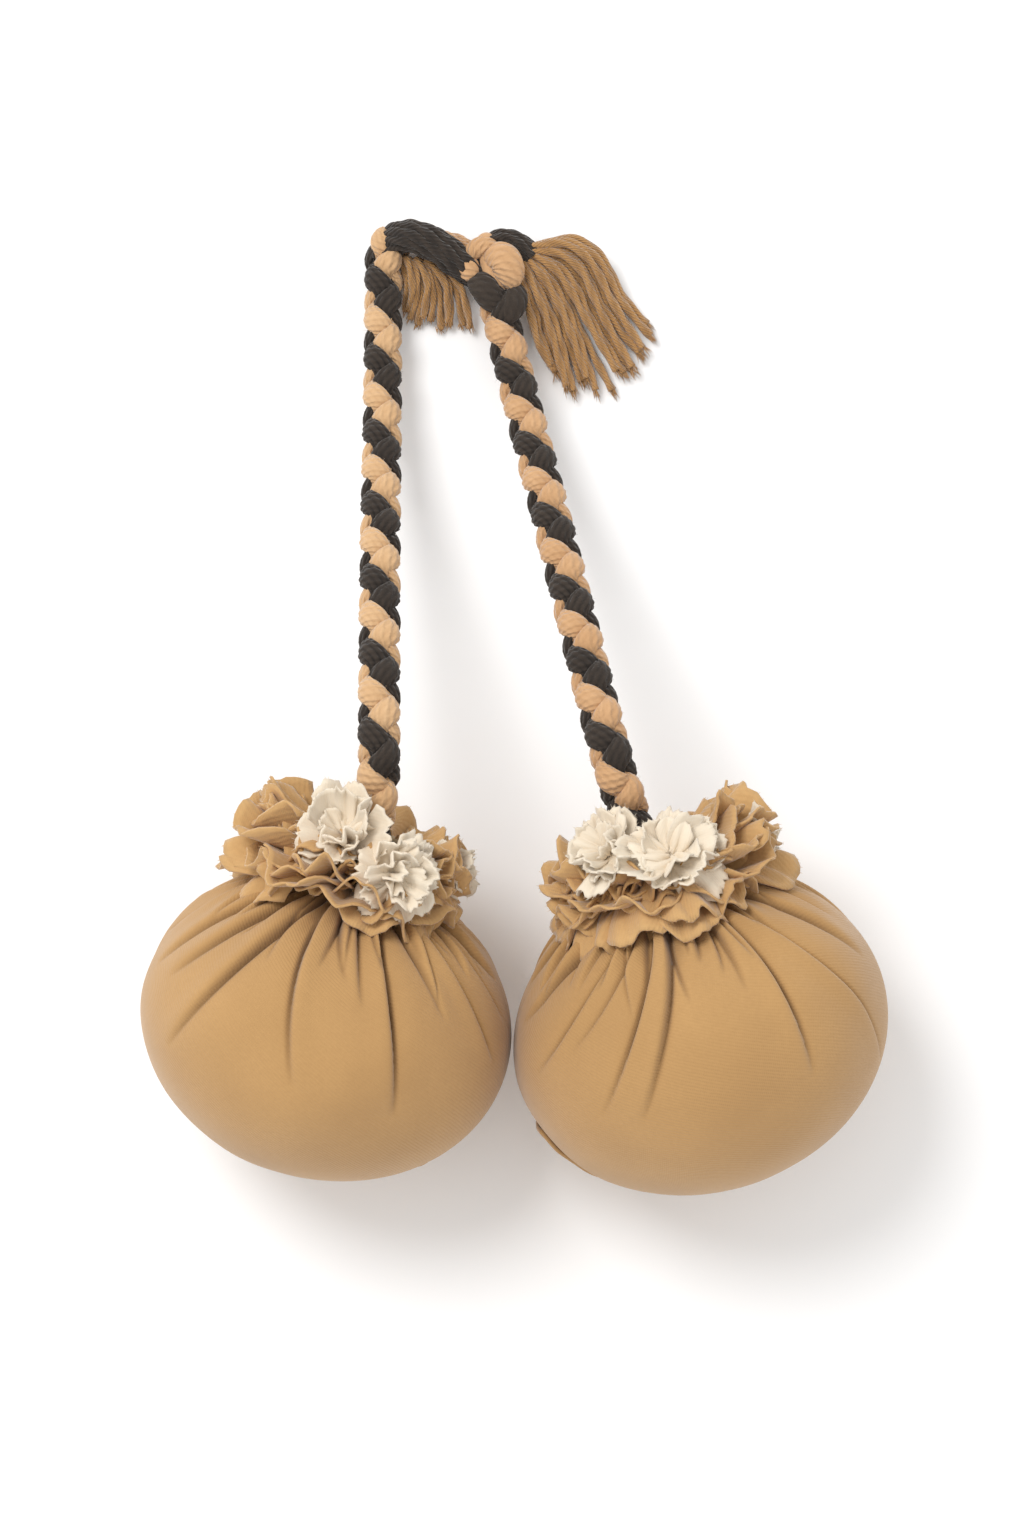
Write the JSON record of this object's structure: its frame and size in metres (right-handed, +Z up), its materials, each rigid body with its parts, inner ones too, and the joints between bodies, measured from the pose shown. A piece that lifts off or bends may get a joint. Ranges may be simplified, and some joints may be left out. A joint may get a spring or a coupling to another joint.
{
  "type": "herbal compress ball",
  "caption": "Herbal massage compress: round cotton balls gathered under fabric ruffles, joined by braided wool cords tied in a knot with yarn tassels, lying on their side.",
  "frame": {"origin": "centre of the footprint's bounding box, on the table the object lies on", "axes": "+Z up from the table; +Y from the balls along the cords towards the knot; +X to the right, from the left ball to the right ball"},
  "size_m": [0.195, 0.2729, 0.0934],
  "materials": {
    "tan_twill": "matte cotton twill",
    "cream_cotton": "matte plain-weave cotton",
    "muslin": "matte loose plain weave",
    "herbs": "dry crushed leaves and roots",
    "braid_wool": "matte wool, dark and light strands",
    "dark_wool": "matte plied wool",
    "light_wool": "matte plied wool",
    "caramel_wool": "matte plied wool",
    "string": "matte cotton string"
  },
  "bodies": {
    "knot": {"right_cord": "braid_wool", "knot_loop_dark": "dark_wool", "knot_loop_light": "light_wool", "knot_wrap_light": "light_wool", "knot_wrap_dark": "dark_wool", "right_cord_end": "braid_wool", "tassel_root_dark": "dark_wool", "right_tassel": "caramel_wool", "left_tassel": "caramel_wool"},
    "left_cord_body": {"left_cord": "braid_wool"},
    "left_ball": {"left_cover": "tan_twill", "left_liner": "muslin", "left_herb_fill": "herbs", "left_stopper_knot": "braid_wool", "left_cord_root": "braid_wool", "left_neck_binding": "string", "left_rosette_front": "cream_cotton", "left_rosette_side": "cream_cotton", "left_rosette_back": "cream_cotton", "left_ruffle_lower": "tan_twill", "left_ruffle_middle": "tan_twill", "left_ruffle_upper": "tan_twill", "left_hem": "tan_twill"},
    "right_ball": {"right_cover": "tan_twill", "right_liner": "muslin", "right_herb_fill": "herbs", "right_stopper_knot": "braid_wool", "right_cord_root": "braid_wool", "right_neck_binding": "string", "right_rosette_front": "cream_cotton", "right_rosette_side": "cream_cotton", "right_rosette_back": "cream_cotton", "right_ruffle_lower": "tan_twill", "right_ruffle_middle": "tan_twill", "right_ruffle_upper": "tan_twill", "right_hem": "tan_twill", "right_hem_stitch": "string"}
  },
  "joints": [
    {"name": "left_swing", "type": "hinge", "parent": "knot", "child": "left_cord_body", "pos_m": [-0.03615, 0.116, 0.0064], "axis": [0, 0, 1], "range_deg": [-60, 0]},
    {"name": "left_ball_lift", "type": "hinge", "parent": "left_cord_body", "child": "left_ball", "pos_m": [-0.03578, -0.03748, 0.06466], "axis": [1, 0, 0], "range_deg": [-40, 0]},
    {"name": "right_ball_lift", "type": "hinge", "parent": "knot", "child": "right_ball", "pos_m": [0.03038, -0.04104, 0.06546], "axis": [1, 0, 0], "range_deg": [-40, 0]}
  ]
}
